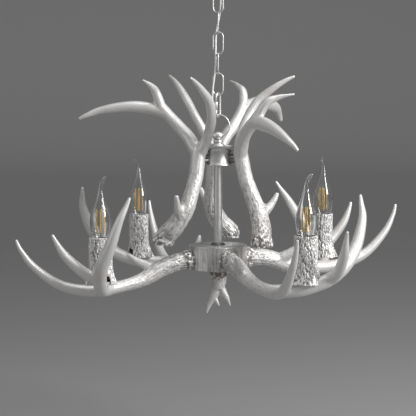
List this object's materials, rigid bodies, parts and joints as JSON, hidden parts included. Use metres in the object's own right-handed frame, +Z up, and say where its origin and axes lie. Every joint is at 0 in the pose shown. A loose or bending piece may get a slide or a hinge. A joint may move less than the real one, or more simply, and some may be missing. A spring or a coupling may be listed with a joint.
{
  "type": "antler chandelier",
  "caption": "Hanging light of cast antlers round a drum hub, with candle-shaped lamps on the lower antlers, hung from a ceiling canopy by a chain.",
  "frame": {"origin": "middle of the ceiling face, where the ceiling bar's top and the canopy's rim meet the ceiling", "axes": "+Z up out of the ceiling face, +X to the right and +Y away in the view of the picture"},
  "size_m": [0.6451, 0.639, 0.634],
  "materials": {
    "zinc_steel": "zinc-plated, dull",
    "nickel_trim": "satin silver",
    "chain_steel": "polished wire, silver",
    "rubber": "matt moulded rubber",
    "cord_jacket": "clear jacket over silver wire",
    "silver_antler": "cast resin with silver paint, grooved",
    "silver_bark": "cast resin bark with silver paint",
    "holder_plastic": "dark moulded plastic",
    "bulb_brass": "rolled brass",
    "clear_glass": "clear, polished",
    "amber_filament": "amber coating, unlit"
  },
  "bodies": {
    "ceiling": {"ceiling_bracket": "zinc_steel", "nipple_nut": "zinc_steel", "canopy_nipple": "zinc_steel", "canopy": "nickel_trim", "canopy_grommet": "rubber", "canopy_collar": "nickel_trim", "canopy_loop": "nickel_trim", "power_cord": "cord_jacket"},
    "link_1": {"chain_link_1": "chain_steel"},
    "link_2": {"chain_link_2": "chain_steel"},
    "link_3": {"chain_link_3": "chain_steel"},
    "link_4": {"chain_link_4": "chain_steel"},
    "link_5": {"chain_link_5": "chain_steel"},
    "link_6": {"chain_link_6": "chain_steel"},
    "quick_link": {"quick_link": "chain_steel"},
    "quick_link_nut": {"quick_link_nut": "chain_steel"},
    "ring": {"fixture_ring": "chain_steel"},
    "fixture": {"tie_rod": "zinc_steel", "tie_rod_nuts": "zinc_steel", "candle_nipples": "zinc_steel", "upper_antler_screws": "zinc_steel", "lower_antler_screws": "zinc_steel", "candle_pans": "zinc_steel", "loop_stem": "nickel_trim", "flared_cap": "nickel_trim", "cap_spacers": "nickel_trim", "centre_rod": "nickel_trim", "rod_washer": "nickel_trim", "hub_shell": "nickel_trim", "hub_lid": "nickel_trim", "hub_bottom": "nickel_trim", "cap_grommet": "rubber", "lower_antler_left": "silver_antler", "candle_sleeve_left": "silver_bark", "lamp_holder_left": "holder_plastic", "lower_antler_front": "silver_antler", "candle_sleeve_front": "silver_bark", "lamp_holder_front": "holder_plastic", "lower_antler_right": "silver_antler", "candle_sleeve_right": "silver_bark", "lamp_holder_right": "holder_plastic", "lower_antler_rear": "silver_antler", "candle_sleeve_rear": "silver_bark", "lamp_holder_rear": "holder_plastic", "upper_antler_left": "silver_antler", "upper_antler_right": "silver_antler", "upper_antler_rear": "silver_antler", "finial_antler": "silver_antler"},
    "bulb_base_left": {"bulb_base_left": "bulb_brass"},
    "bulb_left": {"bulb_glass_left": "clear_glass", "bulb_filaments_left": "amber_filament"},
    "bulb_base_front": {"bulb_base_front": "bulb_brass"},
    "bulb_front": {"bulb_glass_front": "clear_glass", "bulb_filaments_front": "amber_filament"},
    "bulb_base_right": {"bulb_base_right": "bulb_brass"},
    "bulb_right": {"bulb_glass_right": "clear_glass", "bulb_filaments_right": "amber_filament"},
    "bulb_base_rear": {"bulb_base_rear": "bulb_brass"},
    "bulb_rear": {"bulb_glass_rear": "clear_glass", "bulb_filaments_rear": "amber_filament"}
  },
  "joints": [
    {"name": "link_1_swing", "type": "hinge", "parent": "ceiling", "child": "link_1", "pos_m": [0, 0, -0.0584], "axis": [1, 0, 0], "range_deg": [-12, 12], "deforming": ["power_cord"]},
    {"name": "link_2_swing", "type": "hinge", "parent": "link_1", "child": "link_2", "pos_m": [0, 0, -0.0919], "axis": [0, 1, 0], "range_deg": [-12, 12], "deforming": ["power_cord"]},
    {"name": "link_3_swing", "type": "hinge", "parent": "link_2", "child": "link_3", "pos_m": [0, 0, -0.1263], "axis": [1, 0, 0], "range_deg": [-12, 12], "deforming": ["power_cord"]},
    {"name": "link_4_swing", "type": "hinge", "parent": "link_3", "child": "link_4", "pos_m": [0, 0, -0.1607], "axis": [0, 1, 0], "range_deg": [-12, 12], "deforming": ["power_cord"]},
    {"name": "link_5_swing", "type": "hinge", "parent": "link_4", "child": "link_5", "pos_m": [0, 0, -0.1951], "axis": [1, 0, 0], "range_deg": [-12, 12], "deforming": ["power_cord"]},
    {"name": "link_6_swing", "type": "hinge", "parent": "link_5", "child": "link_6", "pos_m": [0, 0, -0.2295], "axis": [0, 1, 0], "range_deg": [-12, 12], "deforming": ["power_cord"]},
    {"name": "quick_link_swing", "type": "hinge", "parent": "link_6", "child": "quick_link", "pos_m": [0, 0, -0.2639], "axis": [1, 0, 0], "range_deg": [-12, 12], "deforming": ["power_cord"]},
    {"name": "ring_swing", "type": "hinge", "parent": "quick_link", "child": "ring", "pos_m": [0, 0, -0.29985], "axis": [0.5446, 0.8387, 0], "range_deg": [-12, 12], "deforming": ["power_cord"]},
    {"name": "fixture_swing", "type": "hinge", "parent": "ring", "child": "fixture", "pos_m": [0, 0, -0.33346], "axis": [1, 0, 0], "range_deg": [-12, 12], "deforming": ["power_cord"]},
    {"name": "quick_link_nut_slide", "type": "slide", "parent": "quick_link", "child": "quick_link_nut", "axis": [0, 0, 1], "range_m": [0, 0.0082]},
    {"name": "bulb_left_rise", "type": "slide", "parent": "fixture", "child": "bulb_base_left", "axis": [0, 0, 1], "range_m": [0, 0.0084]},
    {"name": "bulb_left_turn", "type": "hinge", "parent": "bulb_base_left", "child": "bulb_left", "pos_m": [-0.1906, -0.1333, -0.49], "axis": [0, 0, 1], "range_deg": [0, 1080]},
    {"name": "bulb_front_rise", "type": "slide", "parent": "fixture", "child": "bulb_base_front", "axis": [0, 0, 1], "range_m": [0, 0.0084]},
    {"name": "bulb_front_turn", "type": "hinge", "parent": "bulb_base_front", "child": "bulb_front", "pos_m": [0.1385, -0.1883, -0.49], "axis": [0, 0, 1], "range_deg": [0, 1080]},
    {"name": "bulb_right_rise", "type": "slide", "parent": "fixture", "child": "bulb_base_right", "axis": [0, 0, 1], "range_m": [0, 0.0084]},
    {"name": "bulb_right_turn", "type": "hinge", "parent": "bulb_base_right", "child": "bulb_right", "pos_m": [0.1866, 0.1414, -0.49], "axis": [0, 0, 1], "range_deg": [0, 1080]},
    {"name": "bulb_rear_rise", "type": "slide", "parent": "fixture", "child": "bulb_base_rear", "axis": [0, 0, 1], "range_m": [0, 0.0084]},
    {"name": "bulb_rear_turn", "type": "hinge", "parent": "bulb_base_rear", "child": "bulb_rear", "pos_m": [-0.1411, 0.1864, -0.49], "axis": [0, 0, 1], "range_deg": [0, 1080]}
  ],
  "couplings": [
    {"joint": "bulb_left_turn", "follows": "bulb_left_rise", "rad_per_m": 2228.1},
    {"joint": "bulb_front_turn", "follows": "bulb_front_rise", "rad_per_m": 2228.1},
    {"joint": "bulb_right_turn", "follows": "bulb_right_rise", "rad_per_m": 2228.1},
    {"joint": "bulb_rear_turn", "follows": "bulb_rear_rise", "rad_per_m": 2228.1}
  ]
}
